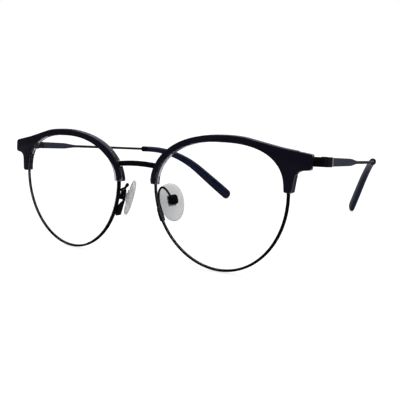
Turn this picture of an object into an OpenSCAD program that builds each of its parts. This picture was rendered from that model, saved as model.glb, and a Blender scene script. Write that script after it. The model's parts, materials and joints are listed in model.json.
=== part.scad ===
// Browline eyeglass frame: two laminated acetate brows over thin metal eyewires,
// a metal bridge, adjustable nose pads, three-barrel hinges and bent temples.
// Lengths are millimetres. +X is the wearer's left, +Y runs back along the temples, +Z is up.
// Every paired piece is drawn for the +X side and mirrored for the other side.

/* [Lens shape] */
// Widest height line to the temporal end of the lens curve
half_temporal = 25.7; // [24:0.1:28]
// Widest height line to the nasal end of the lens curve
half_nasal = 26.6; // [25:0.1:28]
// Widest height line up to the top of the lens curve
rise_up = 18.2; // [17:0.1:20]
// Widest height line down to the bottom of the lens curve
rise_down = 28.6; // [26:0.1:31]
// Squareness of the upper temporal quarter, 2 is an ellipse
square_temporal_up = 2.6; // [2.3:0.05:2.8]
// Squareness of the lower temporal quarter
square_temporal_down = 2.0; // [1.9:0.05:2.3]
// Squareness of the upper nasal quarter
square_nasal_up = 2.12; // [2:0.02:2.4]
// Squareness of the lower nasal quarter
square_nasal_down = 1.95; // [1.9:0.05:2.3]
// Gap between the two lens curves at the nose
nose_gap = 17.3; // [16:0.1:21]
// Turn of each lens about a vertical line, temporal side back
wrap = 2.9; // [2:0.1:6]
// Radius of the sphere that the lenses and brows follow
base_radius = 130; // [110:1:170]
// Set-back of the lens pole behind the frame's origin
lens_back = 0.25; // [0:0.05:1]
// Thickness of a demo lens
lens_thick = 1.0; // [0.8:0.05:1.1]

/* [Eyewire] */
// Eyewire thickness across the lens plane
rim_thick = 0.9; // [0.75:0.05:1.0]
// Eyewire depth from front to back
rim_depth = 1.1; // [1.0:0.05:1.2]
// Depth of the lens groove in the eyewire
groove_deep = 0.32; // [0.2:0.02:0.4]
// Cut through the eyewire under the closing block
rim_cut = 0.3; // [0.2:0.05:0.6]

/* [Brow] */
// Thickness of the dark front layer
brow_front_thick = 0.6; // [0.5:0.05:0.9]
// Thickness of the clear back layer behind the lens lip
brow_back_thick = 1.9; // [1.8:0.05:2.1]
// Sideways offset of the curve of its rear, which makes the temporal leg the thicker one
rear_shift = 1; // [0:0.1:1.5]
// Thickness of the clear lip in front of the lens
lip_thick = 0.25; // [0.2:0.05:0.4]
// How far the lip covers the lens inside the eyewire centre
lip_cover = 1.45; // [1.2:0.05:1.6]
// Drawing back of the brow's inner edge along the temporal leg
leg_bare = 0.2; // [0:0.05:0.5]
// Brow height above the eyewire centre along the top
brow_rise = 1.15; // [0.9:0.05:1.4]
// Least brow height, above the inner part of the lens
brow_least = 0.95; // [0.75:0.05:1]
// Extra brow width at the nasal end
nasal_flare = 1; // [0.4:0.05:1.2]
// Drawing back of the dark layer's inner edge at the nasal end
nasal_bare = 1.0; // [0:0.05:1.1]
// Outer end of the endpiece, measured out from the lens centre line
end_out = 33.7; // [32.5:0.1:34.2]
// Where the top run bends towards the endpiece, out from the lens centre line
waist_out = 23.3; // [22:0.1:25]
// Height of that bend above the widest height line
waist_up = 15.65; // [15.2:0.05:15.8]
// Thickness of the clear layer where the lug is let in
end_thin = 1.1; // [0.9:0.05:1.4]
// How far the clear layer stops short of the dark one at the outer end
end_short = 0.4; // [0:0.05:0.5]
// Top corner of the endpiece above the widest height line
end_top = 13.9; // [13.5:0.1:14.5]
// Bottom corner of the endpiece above the widest height line
end_bottom = 8.8; // [8.4:0.1:9.2]
// Outer edge of the temporal leg where it leaves the endpiece
leg_out_top = 28.1; // [27.8:0.1:28.8]
// Outer edge of the temporal leg at its foot
leg_out_foot = 27.1; // [26.9:0.1:27.6]
// Height of the foot of the temporal leg
leg_foot = 1.2; // [0.6:0.1:2]
// Height of the nasal end of the brow
nasal_foot = 0.2; // [0:0.1:1]
// Inset of the dark layer from the edge of the clear layer
layer_inset = 0.15; // [0.05:0.05:0.3]
// Corner radius of the dark layer
dark_corner = 1.1; // [0.6:0.1:1.2]
// Corner radius of the dark layer at the endpiece
dark_end = 1.4; // [1:0.1:2]
// Corner radius of the clear layer
clear_corner = 0.5; // [0.3:0.1:0.8]

/* [Bridge] */
// Height of the bridge bar's middle above the widest height line
bridge_up = 7.4; // [7:0.1:9]
// Height of the bridge bar
bridge_tall = 2.0; // [1.6:0.1:2.2]
// Depth of the bridge bar
bridge_deep = 1.4; // [1.2:0.1:1.5]
// Radius of the bridge's upward arch
bridge_arch = 75; // [60:1:120]
// Distance that the bridge's middle sits behind the eyewire's middle
bridge_set = 0.3; // [0.2:0.05:0.5]

/* [Hinge] */
// Hinge axis distance from the middle of the frame
hinge_out = 68.3; // [68:0.1:69]
// Hinge axis distance behind the lens origin plane
hinge_back = 15.3; // [14.5:0.1:16.5]
// Hinge axis height above the widest height line
hinge_up = 11.0; // [10.6:0.05:11.1]
// Downward slope of the temples from the front's square
temple_drop = 3.6; // [2:0.1:5]
// Radius of the hinge barrels
barrel_r = 1.25; // [1.1:0.05:1.4]
// Height of the middle barrel
barrel_mid = 1.2; // [1.0:0.05:1.4]
// Height of each outer barrel
barrel_end = 1.0; // [0.9:0.05:1.2]
// Gap between barrels
barrel_gap = 0.06; // [0.04:0.01:0.1]
// Radius of the hinge screw's shank
screw_r = 0.6; // [0.5:0.05:0.7]
// Radial clearance of the middle barrel on the screw
screw_play = 0.04; // [0.02:0.01:0.08]
// Gap between the lug's end and the temple's end
butt_gap = 0.15; // [0.1:0.05:0.3]

/* [Endpiece lug] */
// Thickness of the lug strip
lug_thick = 1.3; // [1.1:0.05:1.4]
// Height of the lug strip
lug_tall = 3.2; // [3.0:0.1:3.4]
// Height of the lug's hinge block
block_tall = 3.35; // [3.25:0.05:4]
// Length of the lug's hinge block
block_long = 4.6; // [4:0.1:5]

/* [Temple] */
// Blade thickness
blade_thick = 1.1; // [1.0:0.05:1.3]
// Blade height at the hinge
blade_tall = 3.05; // [2.8:0.05:3.3]
// Blade height where the taper starts
blade_tall_end = 2.75; // [2.5:0.05:3]
// Length of the blade before the taper
blade_long = 18; // [15:0.5:20]
// Length of the taper from blade to wire
taper_long = 10; // [8:0.5:14]
// Diameter of the temple wire
wire_d = 1.25; // [1.0:0.05:1.3]
// Straight length before the temple curves inward
plan_start = 22.5; // [15:0.5:30]
// Radius of the inward curve
plan_radius = 164; // [150:1:220]
// Length of the inward curve
plan_long = 87; // [80:1:100]
// Length from the hinge to the start of the ear bend
ear_start = 76.5; // [70:0.5:80]
// Radius of the ear bend
ear_radius = 55; // [50:1:80]
// Angle of the ear bend
ear_angle = 36; // [30:0.5:42]
// Length of the temple from the hinge to the end of its tip
temple_long = 137.5; // [130:0.5:145]

/* [Temple tip] */
// Length from the hinge to the front of the tip
tip_start = 71.5; // [66:0.5:76]
// Height of the tip at its front
tip_tall_front = 2.9; // [2.5:0.05:3.1]
// Height of the tip at its end
tip_tall_end = 5.7; // [4.6:0.1:6]
// Thickness of the tip at its front
tip_thick_front = 2.65; // [2.3:0.05:2.8]
// Thickness of the tip at its end
tip_thick_end = 3.1; // [2.7:0.05:3.4]
// Length of the core wire inside the tip
core_long = 46; // [35:1:55]
// Gap round the core wire in the tip
core_gap = 0.06; // [0.04:0.01:0.1]

/* [Nose pad] */
// Pad centre distance from the middle of the frame
pad_out = 10.1; // [9.8:0.1:10.8]
// Pad centre distance behind the lens origin plane
pad_back = 10.0; // [9.5:0.1:11]
// Pad centre distance below the widest height line
pad_down = 7.3; // [7:0.1:8.5]
// Turn of the pad about a vertical line
pad_splay = 51; // [47:1:55]
// Lean of the pad's face from upright
pad_lean = 15.5; // [12:0.5:18]
// Roll of the pad in its own plane
pad_roll = 7.5; // [5:0.5:10]
// Length of the pad
pad_long = 14.9; // [13:0.1:16]
// Width of the pad
pad_wide = 10; // [8:0.1:10.4]
// Thickness of the pad
pad_thick = 2.6; // [2.4:0.1:2.8]
// Diameter of the pad arm wire
arm_d = 0.85; // [0.75:0.05:0.95]
// Height of the pad arm's soldered foot
foot_tall = 6.4; // [5:0.1:7]
// Height of the foot's middle below the widest height line
foot_down = 10.2; // [10:0.1:11.5]
// Distance that the foot reaches behind the eyewire's middle
foot_back = 3.1; // [2.4:0.1:3.4]
// Thickness of the foot
foot_thick = 0.55; // [0.5:0.05:0.7]

/* [Hidden] */

// Sides of a fine round, and points round a lens curve
fine = 48;
lens_steps = 90;
// Facets of the spheres that cut the lens and brow surfaces
sphere_fine = 180;
// Thin glue line between laminated or soldered pieces
bond = 0.01;
// Gap round the eyewire in the brow's channel
channel_gap = 0.07;
// Small overlap that keeps cuts clean
eps = 0.5;

// Colours as seen on the real frame
dark_acetate = [0.07, 0.07, 0.12];
clear_acetate = [0.62, 0.62, 0.68];
black_metal = [0.06, 0.06, 0.07];
gun_metal = [0.22, 0.25, 0.33];
steel = [0.6, 0.6, 0.62];
pad_clear = [0.8, 0.82, 0.84];
lens_clear = [0.85, 0.9, 0.95];
tip_navy = [0.1, 0.12, 0.22];

// Vector and spline helpers
function unit(v) = v / norm(v);
function mean(p) = [for (k = [0:2]) [for (q = p) 1] * [for (q = p) q[k]] / len(p)];
function spow(x, e) = sign(x) * pow(abs(x), e);
function mix(a, b, f) = a + (b - a) * f;
function clamp01(x) = min(1, max(0, x));
function smooth(x) = let (c = clamp01(x)) c * c * (3 - 2 * c);

// Point f along the spline piece from b to c, with neighbours a and d
function spline_point(a, b, c, d, f) =
    (b * 2 + (c - a) * f + (a * 2 - b * 5 + c * 4 - d) * f * f
    + (b * 3 - a - c * 3 + d) * f * f * f) / 2;

// Smooth route through hand-chosen points
function spline(p, n) = let (m = len(p) - 1)
    concat([for (i = [0:m - 1]) for (k = [0:n - 1])
        spline_point(p[max(i - 1, 0)], p[i], p[i + 1], p[min(i + 2, m)], k / n)], [p[m]]);

// Arc that rounds the corner at b between a and c
function corner(a, b, c, r, n = 5) =
    r == 0 ? [b] : let (p = unit(a - b), q = unit(c - b), half = acos(p * q) / 2,
        m = b + unit(p + q) * r / sin(half), s = b + p * r / tan(half) - m,
        e = b + q * r / tan(half) - m, t0 = atan2(s[1], s[0]),
        turn = atan2(s[0] * e[1] - s[1] * e[0], s * e))
    [for (k = [0:n]) m + r * [cos(t0 + turn * k / n), sin(t0 + turn * k / n)]];

// Outline from [x, y, corner radius] triples
function rounded(v) = let (n = len(v)) [for (i = [0:n - 1])
    let (a = v[(i + n - 1) % n], b = v[i], c = v[(i + 1) % n])
    each corner([a[0], a[1]], [b[0], b[1]], [c[0], c[1]], b[2])];

// Closed skin through rings of points, capped at both ends or joined into a loop
module skin(rings, loop = false) {
    n = len(rings[0]);
    m = len(rings);
    ends = loop ? [] : [mean(rings[0]), mean(rings[m - 1])];
    points = concat([for (r = rings) each r], ends);
    sides = [for (i = [0:loop ? m - 1 : m - 2]) for (j = [0:n - 1])
        let (k = (j + 1) % n, a = i * n, b = ((i + 1) % m) * n)
        each [[a + j, b + k, a + k], [a + j, b + j, b + k]]];
    caps = loop ? [] : [for (j = [0:n - 1]) let (k = (j + 1) % n)
        each [[m * n, j, k], [m * n + 1, (m - 1) * n + k, (m - 1) * n + j]]];
    polyhedron(points, concat(sides, caps), convexity = 8);
}

// Lens curve in the lens's own plane: u temporal, v up, with its outward normal
function half_u(t) = cos(t) >= 0 ? half_temporal : half_nasal;
function half_v(t) = sin(t) >= 0 ? rise_up : rise_down;
function square_at(t) = cos(t) >= 0
    ? (sin(t) >= 0 ? square_temporal_up : square_temporal_down)
    : (sin(t) >= 0 ? square_nasal_up : square_nasal_down);
function lens_normal(t) = let (e = 2 * (square_at(t) - 1) / square_at(t))
    unit([spow(cos(t), e) / half_u(t), spow(sin(t), e) / half_v(t)]);
function lens_point(t, out = 0) = let (e = 2 / square_at(t))
    [half_u(t) * spow(cos(t), e), half_v(t) * spow(sin(t), e)] + out * lens_normal(t);
function lens_outline(out) = [for (i = [0:lens_steps - 1]) lens_point(i * 360 / lens_steps, out)];

// Curve angle on the temporal or nasal side where the lens curve reaches height v
function angle_temporal(v) = asin(pow(v / rise_up, square_temporal_up / 2));
function angle_nasal_low(v) = 180 + asin(pow(v / rise_down, square_nasal_down / 2));

// Depth of the base sphere behind its pole
function sag(u, v) = base_radius - sqrt(base_radius * base_radius - u * u - v * v);
// Point of the lens frame at u and v, d behind the lens middle
function on_lens(u, v, d) = [u, sag(u, v) + d, v];
// The same point in the front's frame
function lens_to_front(p) = [nose_gap / 2 + half_nasal + p[0] * cos(wrap) - p[1] * sin(wrap),
    lens_back + p[0] * sin(wrap) + p[1] * cos(wrap), p[2]];
module lens_place() {
    translate([nose_gap / 2 + half_nasal, lens_back, 0]) rotate([0, 0, wrap]) children();
}

// Upright prism through the lens frame with the given outline
module prism(outline) {
    rotate([90, 0, 0]) linear_extrude(height = 60, center = true) polygon(outline);
}
// Everything behind the base sphere moved back by d
module behind(d) {
    translate([0, base_radius + d, 0]) sphere(r = base_radius, $fn = sphere_fine);
}
// The endpiece runs on flat from this point of the sphere
flat_u = 19;
flat_v = 12;
flat_y = sag(flat_u, flat_v);
flat_side = flat_u / (base_radius - flat_y);
flat_up = flat_v / (base_radius - flat_y);
function flat_sag(u, v) = flat_y + (u - flat_u) * flat_side + (v - flat_v) * flat_up;
// Everything behind the brow's surface moved back by d: the sphere, then the flat
module brow_behind(d) {
    behind(d);
    translate([flat_u, flat_y + d, flat_v]) multmatrix([[1, 0, 0, 0],
        [flat_side, 1, flat_up, 0], [0, 0, 1, 0]]) translate([0, 0, -30]) cube([40, 60, 60]);
}
// Room for the eyewire, which other metal parts are cut to meet
module rim_room(gap) {
    lens_place() prism(lens_outline(rim_thick / 2 + gap));
}

// Eyewire: a V-grooved wire that follows the lens curve, cut at the closing block
rim_section = [[-0.5, -0.5, 0], [0.3, -0.5, 0], [0.5, -0.3, 0], [0.5, 0.3, 0],
    [0.3, 0.5, 0], [-0.5, 0.5, 0], [-0.5, 0.3, 0], [-0.5, 0, 1], [-0.5, -0.3, 0]];
function rim_ring(t) = [for (s = rim_section)
    let (p = lens_point(t, s[0] * rim_thick + s[2] * groove_deep))
    on_lens(p[0], p[1], s[1] * rim_depth)];
// Middle of the closing block: where the lug meets the eyewire
lock_v = hinge_up + (hinge_back - 3) * tan(temple_drop);
lock_t = angle_temporal(lock_v);
// Half of the cut, as a turn along the curve
cut_t = rim_cut / 2 / norm(lens_point(lock_t + 0.5) - lens_point(lock_t - 0.5));
rim_turns = [for (i = [0:lens_steps]) lock_t + cut_t + i * (360 - 2 * cut_t) / lens_steps];
module eyewire() {
    color(black_metal) lens_place() skin([for (t = rim_turns) rim_ring(t)]);
}

// Demo lens with a bevelled edge that sits in the groove
lens_edge = -(rim_thick / 2 + channel_gap);
lens_apex = lens_edge + groove_deep;
lens_rings = [[0.25, -0.5], [0.5, -0.5], [0.75, -0.5], [1, -0.5], [1, -0.22],
    [1, 0.22], [1, 0.5], [0.75, 0.5], [0.5, 0.5], [0.25, 0.5]];
function lens_ring(k, d) = [for (i = [0:lens_steps - 1])
    let (p = lens_point(i * 360 / lens_steps, lens_edge) * k)
    on_lens(p[0], p[1], d * lens_thick)];
function bevel_ring() = [for (i = [0:lens_steps - 1])
    let (p = lens_point(i * 360 / lens_steps, lens_apex)) on_lens(p[0], p[1], 0)];
module lens() {
    front = [for (i = [0:4]) lens_ring(lens_rings[i][0], lens_rings[i][1])];
    back = [for (i = [5:9]) lens_ring(lens_rings[i][0], lens_rings[i][1])];
    color(lens_clear) lens_place() skin(concat(front, [bevel_ring()], back));
}

// Brow outlines. The outer edge leaves the lens curve on a straight run to the endpiece.
top_t = 69;
nasal_t = 180 - asin(pow(nasal_foot / rise_up, square_nasal_up / 2));
foot_t = angle_temporal(leg_foot);
function brow_edge(t) = mix(brow_least, brow_rise, smooth((106 - t) / 22))
    + nasal_flare * pow(clamp01((t - 106) / 70), 1.5);
function brow_outer(t, inset) = lens_point(t, brow_edge(t) - inset);
function brow_inner(t, cover, bare) = lens_point(t, -cover + bare * smooth((t - 140) / 34)
    + leg_bare * smooth((42 - t) / 30));
function plain(p) = [p[0], p[1], 0];
// Outline with an inset from the edge, a lens cover and a corner radius
function brow_outline(inset, cover, r, end_r, bare = 0, slant = 0, short = 0) = let (n = 34,
        a = brow_outer(nasal_t, inset), b = brow_inner(nasal_t, cover, bare),
        c = brow_inner(foot_t, cover, 0)) rounded(concat(
    [[a[0], a[1] + slant, r]],
    [for (i = [slant > 0 ? 3 : 1:n - 1]) plain(brow_outer(mix(nasal_t, top_t, i / n), inset))],
    [[waist_out, waist_up - inset, 60],
     [end_out - inset - short, end_top - inset, end_r],
     [end_out - 0.25 - inset - short, end_bottom + inset, end_r],
     [leg_out_top - inset, end_bottom - 0.5 + inset, 3.2],
     [leg_out_foot - inset, leg_foot - 0.2 + inset, r],
     [c[0], c[1] + inset, r * 1.25]],
    [for (i = [1:n - 1]) plain(brow_inner(mix(foot_t, nasal_t, i / n), cover, bare))],
    [[b[0], b[1] + inset, min(r, 0.4)]]));

// Depths of the brow's layers, measured from the lens middle
lip_back = -rim_depth / 2 - channel_gap;
layer_line = lip_back - lip_thick;
brow_face = layer_line - brow_front_thick;
brow_rear = layer_line + brow_back_thick;

module brow_front() {
    color(dark_acetate) difference() {
        lens_place() difference() {
            intersection() {
                prism(brow_outline(layer_inset, lip_cover - layer_inset, dark_corner, dark_end,
                    nasal_bare, 0.9));
                brow_behind(brow_face);
            }
            brow_behind(layer_line - bond);
        }
        bridge_bar(bond, 0);
    }
}

module brow_back() {
    color(clear_acetate) difference() {
        lens_place() difference() {
            intersection() {
                prism(brow_outline(0, lip_cover, clear_corner, clear_corner, 0, 0,
                    end_short));
                brow_behind(layer_line);
            }
            translate([-rear_shift, 0, 0]) behind(brow_rear);
            intersection() {
                brow_behind(layer_line + end_thin);
                union() {
                    translate([leg_out_top - 0.2, -20, 0]) cube([20, 60, 30]);
                    translate([lug_in - 0.6, -20, lock_v - lug_tall / 2 - 0.2])
                        cube([20, 60, lug_tall + 0.35]);
                }
            }
            intersection() {
                prism(lens_outline(rim_thick / 2 + channel_gap));
                difference() {
                    behind(lip_back);
                    behind(-lip_back);
                }
            }
            lock_place() translate([-eps, lip_back, -lock_long - lock_gap])
                cube([lock_wide + eps + lock_gap, 20, 2 * (lock_long + lock_gap)]);
        }
        difference() {
            bridge_bar(channel_gap, 20);
            lens_place() prism(lens_outline(0));
        }
        brow_screw_place() translate([0, 0, -screw_deep - 0.03])
            cylinder(r = brow_screw_r + bond, h = screw_deep + 2, $fn = fine);
    }
}

// Bridge: an arched bar whose ends are cut to meet the eyewires
bridge_half = nose_gap / 2 + 3.4;
bridge_t = 180 - asin(pow(bridge_up / rise_up, square_nasal_up / 2));
bridge_y = lens_to_front(on_lens(lens_point(bridge_t)[0], bridge_up, bridge_set))[1];
bridge_swing = 2 * asin(bridge_half / bridge_arch);
module bridge_cut() {
    rim_room(bond);
}
// The arched bar, with a gap all round and a run to the rear for the slot it lies in
module bridge_bar(gap, rear) {
    h = bridge_tall / 2 + gap;
    d = bridge_deep / 2 + gap;
    swing = bridge_swing + (rear > 0 ? 4 : 0);
    section = rounded([[bridge_arch - h, -d - rear, 0.4], [bridge_arch + h, -d - rear, 0.4],
        [bridge_arch + h, d, 0.4], [bridge_arch - h, d, 0.4]]);
    translate([0, bridge_y, bridge_up - bridge_arch]) rotate([90, 0, 0])
        rotate([0, 0, 90 - swing / 2])
        rotate_extrude(angle = swing, $fn = 720) polygon(section);
}
module bridge() {
    color(black_metal) difference() {
        bridge_bar(0, 0);
        bridge_cut();
        mirror([1, 0, 0]) bridge_cut();
    }
}

// Closing block on the eyewire, in a frame with x outward, y back and z along the eyewire
lock_wide = 2.4;
lock_long = 1.9;
lock_gap = 0.12;
lock_deep = layer_line + end_thin;
lock_screw_r = 0.5;
module lock_place() {
    p = lens_point(lock_t);
    n = lens_normal(lock_t);
    translate([p[0], sag(p[0], p[1]), p[1]]) rotate([0, -atan2(n[1], n[0]), 0]) children();
}
module lock_block(z, back) {
    translate([0, -rim_depth / 2, z]) cube([lock_wide, rim_depth / 2 + back,
        lock_long - rim_cut / 2]);
}
module lock_bore(r, z, h) {
    translate([lock_wide * 0.6, lock_deep / 2, z]) cylinder(r = r, h = h, $fn = fine);
}
module rim_lock() {
    color(black_metal) difference() {
        lens_place() lock_place() difference() {
            lock_block(-lock_long, lock_deep);
            lock_bore(lock_screw_r + bond, -lock_long - 1, lock_long + 1);
            lock_bore(lock_screw_r + 0.25, -lock_long - 1, 1.4);
        }
        rim_room(bond);
        glue_room();
        brow_screw_place() translate([0, 0, -screw_deep - channel_gap])
            cylinder(r = brow_screw_r + channel_gap, h = 6, $fn = fine);
    }
}
// Room for the dark layer: all that lies in front of the glue line
module glue_room() {
    lens_place() difference() {
        translate([leg_out_foot - 6, -20, -leg_foot]) cube([20, 40, 30]);
        brow_behind(layer_line + bond);
    }
}
module lock_screw() {
    color(steel) lens_place() lock_place() {
        lock_bore(lock_screw_r, -lock_long + 0.3, 2 * lock_long - 0.7);
        lock_bore(lock_screw_r + 0.23, -lock_long + 0.05, 0.34);
    }
}

// Hinge frame: origin on the hinge axis, x outward, y back along the temple
module hinge_place() {
    translate([hinge_out, hinge_back, hinge_up]) rotate([-temple_drop, 0, 0]) children();
}
// Faces of the blade and lug, measured out from the hinge axis
barrel_clear = 0.25;
blade_in = barrel_r + barrel_clear;
blade_mid = blade_in + blade_thick / 2;
lug_out = blade_in + lug_thick;
// The lug runs behind the brow, parallel to its rear, then bends back to the hinge
lug_slope = wrap + atan(flat_side);
lug_root = 11.4;
lug_gap = 0.12;
lug_in = end_out - lug_root;
lug_start = lens_to_front([lug_in, flat_sag(lug_in, lock_v) + layer_line + end_thin + lug_gap,
    lock_v]);
lug_u = lug_start[0] - hinge_out;
lug_v = lug_start[1] - hinge_back;
function lug_front(x) = lug_v + (x - lug_u) * tan(lug_slope);
function lug_rear(x) = lug_front(x) + lug_thick / cos(lug_slope);
lug_bend = 2.6;
lug_outline = rounded([[lug_u, lug_v, 0.3], [lug_out, lug_front(lug_out), lug_bend],
    [lug_out, -butt_gap, 0.15], [blade_in, -butt_gap, 0.15],
    [blade_in, lug_rear(blade_in), lug_bend - lug_thick],
    [lug_u - 0.2, lug_rear(lug_u - 0.2), 0.3]]);
block_outline = rounded([[lug_out + 0.05, -block_long, 0.2], [lug_out + 0.05, -butt_gap, 0.15],
    [blade_in, -butt_gap, 0], [blade_in, -block_long, 0]]);

// Screw through the lug into the clear layer of the brow
brow_screw_r = 0.6;
screw_deep = end_thin + lug_gap - 0.15;
screw_head_r = 1.05;
// The screw sits at this share of the lug's straight run
screw_share = 0.42;
brow_screw_x = mix(lug_u, lug_out, screw_share);
module brow_screw_place() {
    hinge_place() translate([brow_screw_x, lug_front(brow_screw_x) - lug_gap, 0])
        rotate([0, 0, lug_slope]) rotate([-90, 0, 0]) children();
}
module brow_screw() {
    head = lug_thick + lug_gap;
    color(steel) brow_screw_place() difference() {
        union() {
            translate([0, 0, -screw_deep])
                cylinder(r = brow_screw_r, h = screw_deep + head + 0.2, $fn = fine);
            translate([0, 0, head + bond]) cylinder(r = screw_head_r, h = 0.45, $fn = fine);
        }
        translate([-2, -0.14, head + 0.25]) cube([4, 0.28, 1]);
    }
}

module endpiece() {
    color(black_metal) difference() {
        union() {
            hinge_place() translate([0, 0, -lug_tall / 2])
                linear_extrude(height = lug_tall) polygon(lug_outline);
            hinge_place() translate([0, 0, -block_tall / 2])
                linear_extrude(height = block_tall) polygon(block_outline);
            lens_place() lock_place() lock_block(rim_cut / 2, lock_deep + 1);
        }
        rim_room(bond);
        glue_room();
        lens_place() lock_place() lock_bore(lock_screw_r + bond, -lock_long, 2 * lock_long - 0.3);
        lens_place() lock_place() lock_bore(lock_screw_r + 0.25, -lock_long - 1, 1.4);
        brow_screw_place() translate([0, 0, -2])
            cylinder(r = brow_screw_r + bond, h = 6, $fn = fine);
        brow_screw_place() translate([0, 0, lug_thick + lug_gap])
            cylinder(r = screw_head_r + 0.1, h = 6, $fn = fine);
    }
}

// Hinge leaf: a soldered plate with barrels, reaching back for sense 1 and forward for -1
plate_thick = 0.75;
plate_long = 5.6;
plate_tall = 2.7;
leaf_start = barrel_r + 0.3;
barrel_half = barrel_mid / 2 + barrel_gap + barrel_end;
module leaf(sense, low, high, bore_r) {
    h = high - low;
    translate([blade_in - plate_thick - bond, sense > 0 ? leaf_start : -plate_long,
        -plate_tall / 2]) cube([plate_thick, plate_long - leaf_start, plate_tall]);
    difference() {
        union() {
            translate([0, 0, low]) cylinder(r = barrel_r, h = h, $fn = fine);
            translate([0, sense > 0 ? 0 : -leaf_start - 0.4, low])
                cube([blade_in - bond, leaf_start + 0.4, h]);
        }
        translate([0, 0, low - 1]) cylinder(r = bore_r, h = h + 2, $fn = fine);
    }
}
module front_hinge() {
    color(gun_metal) hinge_place() difference() {
        union() {
            leaf(-1, barrel_mid / 2 + barrel_gap, barrel_half, screw_r + bond);
            leaf(-1, -barrel_half, -barrel_mid / 2 - barrel_gap, screw_r + bond);
        }
        translate([0, 0, barrel_half - 0.4]) cylinder(r = 0.95, h = 1, $fn = fine);
    }
}
module temple_hinge() {
    color(gun_metal) hinge_place()
        leaf(1, -barrel_mid / 2, barrel_mid / 2, screw_r + screw_play);
}
module hinge_screw() {
    color(steel) hinge_place() difference() {
        union() {
            translate([0, 0, -barrel_half]) cylinder(r = screw_r, h = 2 * barrel_half - 0.3,
                $fn = fine);
            translate([0, 0, barrel_half - 0.38]) cylinder(r = 0.9, h = 0.45, $fn = fine);
        }
        translate([-2, -0.13, barrel_half - 0.15]) cube([4, 0.26, 1]);
    }
}

// Temple route in the hinge frame: an inward curve and the ear bend, stepped along its length
route_step = 2.75;
route_count = ceil(temple_long / route_step);
function heading(s) = clamp01((s - plan_start) / plan_long) * plan_long / plan_radius * 180 / PI;
function pitch(s) = clamp01((s - ear_start) / (ear_radius * ear_angle * PI / 180)) * ear_angle;
function along(s) = [-sin(heading(s)) * cos(pitch(s)), cos(heading(s)) * cos(pitch(s)),
    -sin(pitch(s))];
function side_axis(s) = [cos(heading(s)), sin(heading(s)), 0];
function up_axis(s) = cross(side_axis(s), along(s));
route = [for (i = 0, p = [blade_mid, 0, 0]; i <= route_count;
    p = p + along((i + 0.5) * route_step) * route_step, i = i + 1) p];
function route_at(s) = let (i = min(floor(s / route_step), route_count - 1))
    route[i] + along((i * route_step + s) / 2) * (s - i * route_step);

// Section of the given thickness, height and squareness at length s
function temple_ring(s, w, h, e, n) = [for (j = [0:n - 1])
    let (t = (j + 0.5) * 360 / n) route_at(s) + side_axis(s) * w / 2 * spow(cos(t), 2 / e)
    + up_axis(s) * h / 2 * spow(sin(t), 2 / e)];
wire_sides = 16;
function blade_height(s) = s < blade_long
    ? mix(blade_tall, blade_tall_end, s / blade_long)
    : mix(blade_tall_end, wire_d, smooth((s - blade_long) / taper_long));
function blade_width(s) = mix(blade_thick, wire_d, smooth((s - blade_long) / taper_long));
function squareness(s) = mix(9, 2, smooth((s - blade_long + 2) / taper_long));
core_end = tip_start + core_long;
blade_stops = [for (s = [0:1:taper_long]) blade_long + s];
wire_stops = [for (k = [1:26]) mix(blade_long + taper_long, core_end, k / 26)];
temple_stops = concat([butt_gap, blade_long / 3, blade_long * 2 / 3], blade_stops, wire_stops);
module temple() {
    color(gun_metal) hinge_place() skin([for (s = temple_stops)
        temple_ring(s, blade_width(s), blade_height(s), squareness(s), wire_sides)]);
}

// Temple tip: a sleeve over the core wire that widens to a rounded end
tip_long = temple_long - tip_start;
tip_round = 2.6;
tip_nose = 0.7;
function tip_f(s) = (s - tip_start) / tip_long;
function tip_close(s) = let (x = clamp01((s - temple_long + tip_round) / tip_round),
    y = clamp01((tip_start + tip_nose - s) / tip_nose)) sqrt(1 - 0.985 * x * x) * (1 - 0.28 * y * y);
function tip_height(s) = mix(tip_tall_front, tip_tall_end, smooth(tip_f(s) * 1.06)) * tip_close(s);
function tip_width(s) = mix(tip_thick_front, tip_thick_end, smooth(tip_f(s))) * tip_close(s);
tip_stops = concat([0, 0.35, 0.7] + [for (k = [0:2]) tip_start],
    [for (k = [1:22]) mix(tip_start + tip_nose, temple_long - tip_round, k / 22)],
    [for (x = [0.35, 0.62, 0.82, 0.94, 1]) temple_long - tip_round * (1 - x)]);
bore_stops = [for (k = [0:24]) mix(core_end + 0.3, tip_start, k / 24)];
// The bore's rings run back to the front face and join it, so the skin closes on itself
module temple_tip() {
    outer = [for (s = tip_stops) temple_ring(s, tip_width(s), tip_height(s), 2.3, wire_sides)];
    bore = [for (s = bore_stops) temple_ring(s, wire_d + 2 * core_gap, wire_d + 2 * core_gap, 2,
        wire_sides)];
    color(tip_navy) hinge_place() sleeve(outer, bore);
}
// Outer rings closed at their far end, inner rings closed at theirs, joined at the near end
module sleeve(outer, bore) {
    rings = concat(bore, outer);
    skin(rings);
}

// Nose pad frame: x across the pad, y out of its face towards the nose, z up its length
pin_back = 2.6;
pin_up = 0.6;
pin_side = -0.4;
module pad_place() {
    translate([pad_out, pad_back, -pad_down]) rotate([0, 0, pad_splay]) rotate([-pad_lean, 0, 0])
        rotate([0, -pad_roll, 0]) children();
}
pad_steps = 28;
pad_rings = [for (f = [84, 66, 48, 30, 12, -6, -24, -42, -60]) f];
function pad_ring(f) = let (k = pow(cos(f), 0.6), y = pad_thick / 2 * sin(f)) [for (i = [0:pad_steps - 1])
    let (t = i * 360 / pad_steps, taper = 1 + 0.12 * sin(t))
    [pad_wide / 2 * taper * k * spow(cos(t), 0.9), max(y, -pad_back_flat),
     pad_long / 2 * k * spow(sin(t), 0.95)]];
pad_back_flat = pad_thick * 0.44;
module nose_pad() {
    color(pad_clear) pad_place() skin([for (f = pad_rings) pad_ring(f)]);
}

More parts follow.
